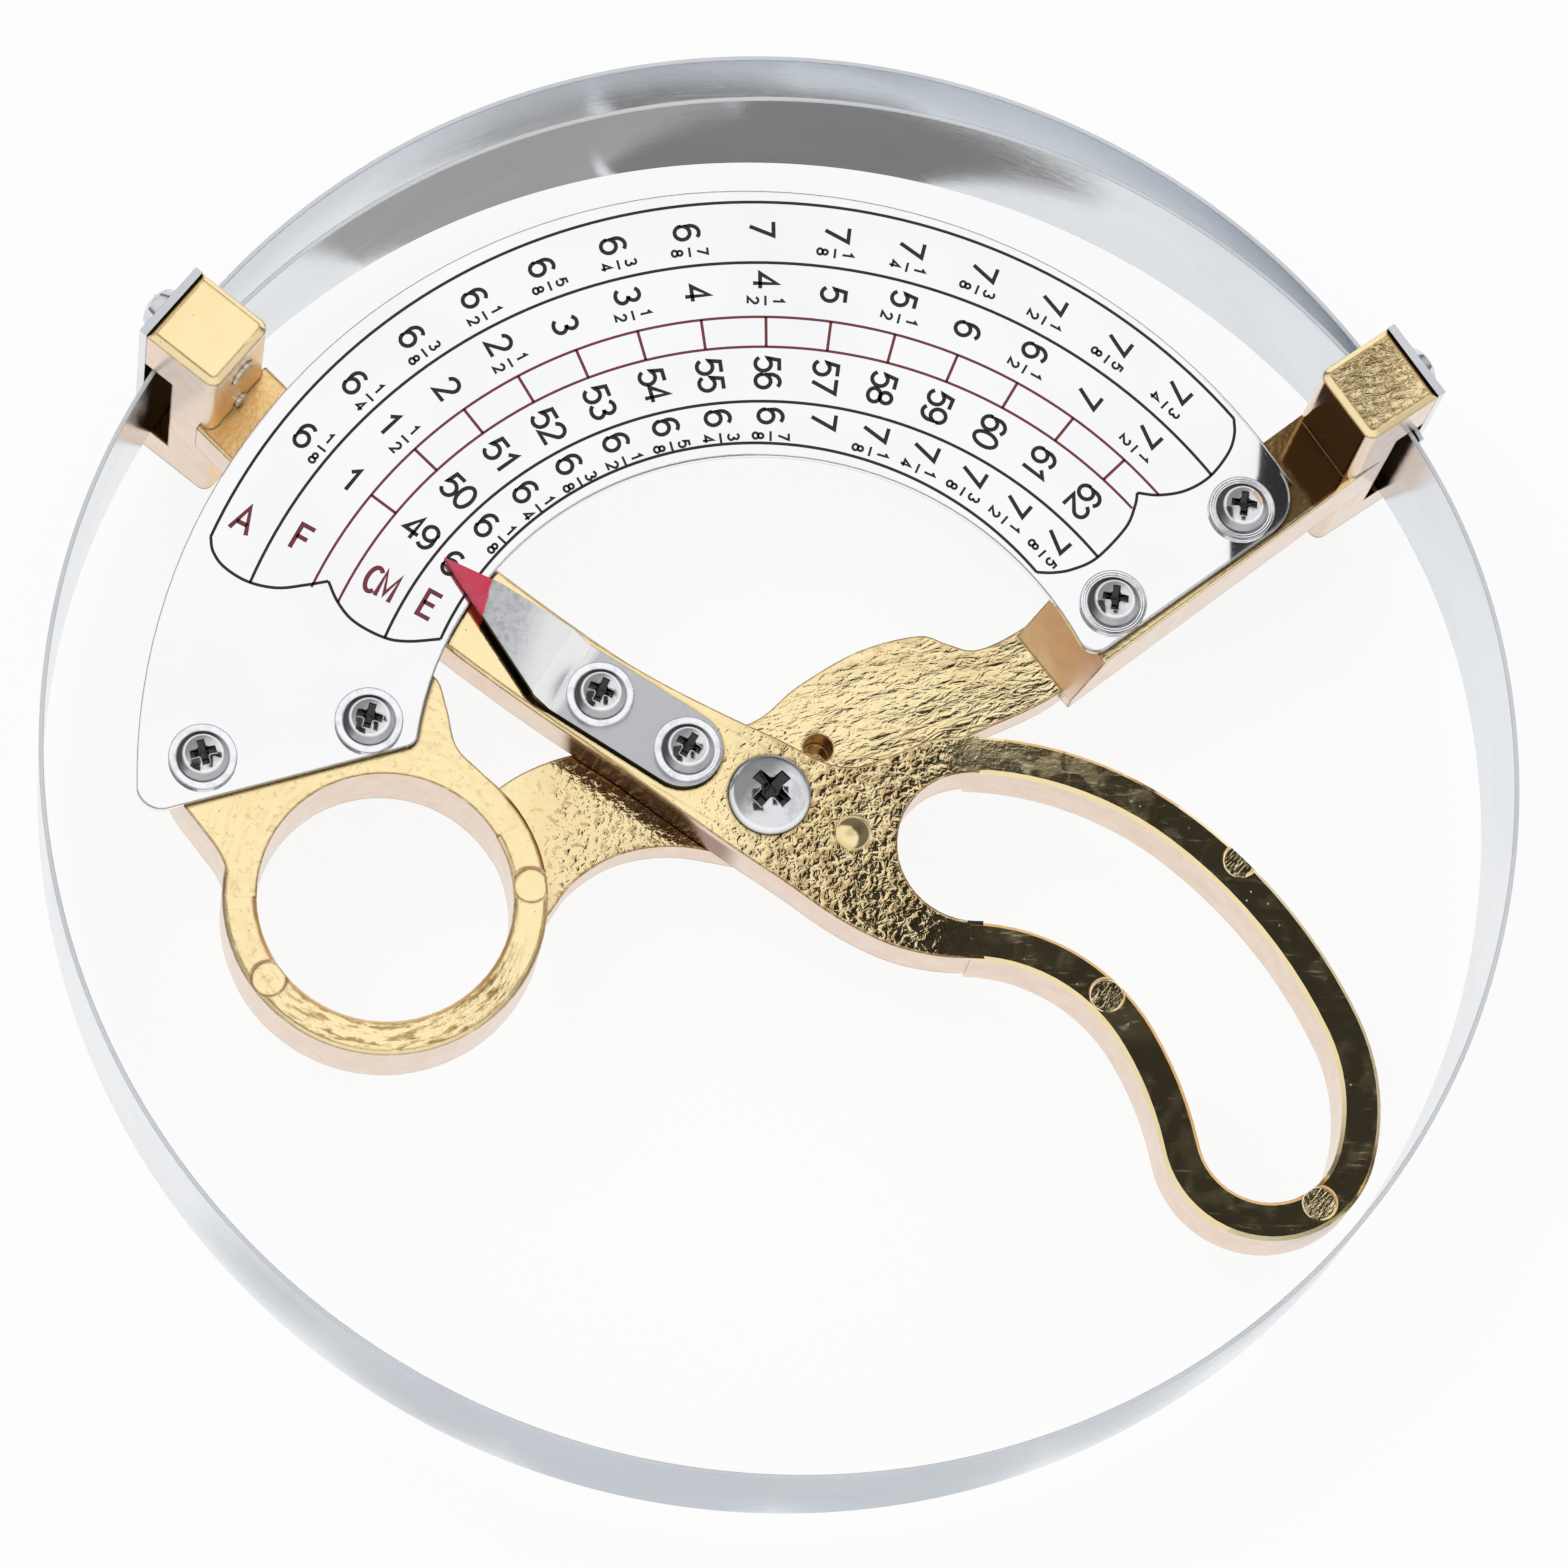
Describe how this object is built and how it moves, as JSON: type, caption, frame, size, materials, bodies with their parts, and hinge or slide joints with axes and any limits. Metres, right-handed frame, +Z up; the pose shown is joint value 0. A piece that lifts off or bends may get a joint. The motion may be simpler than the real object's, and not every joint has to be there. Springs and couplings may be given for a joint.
{
  "type": "hat sizing gauge",
  "caption": "Hat sizing gauge: scissor arms with a finger ring and a loop handle set a spring steel band, and a pointer reads the hat size on a curved scale plate.",
  "frame": {"origin": "centre of the band's loop in plan, at the height of the posts' feet", "axes": "+Z up along the pivot, +Y from the handles to the middle of the scale, +X to the right seen from above"},
  "size_m": [0.156, 0.156, 0.0333],
  "materials": {
    "gold_casting": "gold-coloured polished die casting",
    "plate_steel": "bright plated sheet",
    "screw_steel": "bright plated steel",
    "spring_steel": "smooth spring strip"
  },
  "bodies": {
    "scale_arm": {"ring_arm": "gold_casting", "scale_plate": "plate_steel", "scale_screw_1": "screw_steel", "scale_screw_2": "screw_steel", "scale_screw_3": "screw_steel", "scale_screw_4": "screw_steel", "scale_washer_1": "screw_steel", "scale_washer_2": "screw_steel", "scale_washer_3": "screw_steel", "scale_washer_4": "screw_steel", "pivot_screw": "screw_steel", "right_keeper": "spring_steel", "right_keeper_screw": "screw_steel", "right_band_rivet": "screw_steel", "sizing_band": "spring_steel"},
    "pointer_arm": {"loop_arm": "gold_casting", "pointer": "plate_steel", "pointer_screw_1": "screw_steel", "pointer_screw_2": "screw_steel", "pointer_washer_1": "screw_steel", "pointer_washer_2": "screw_steel", "left_keeper": "spring_steel", "left_keeper_screw": "screw_steel", "left_band_rivet": "screw_steel"}
  },
  "joints": [
    {"name": "scissor_pivot", "type": "hinge", "parent": "scale_arm", "child": "pointer_arm", "pos_m": [-0.0014, -0.0039, 0.016], "axis": [0, 0, -1], "range_deg": [0, 98], "deforming": ["sizing_band"]}
  ]
}
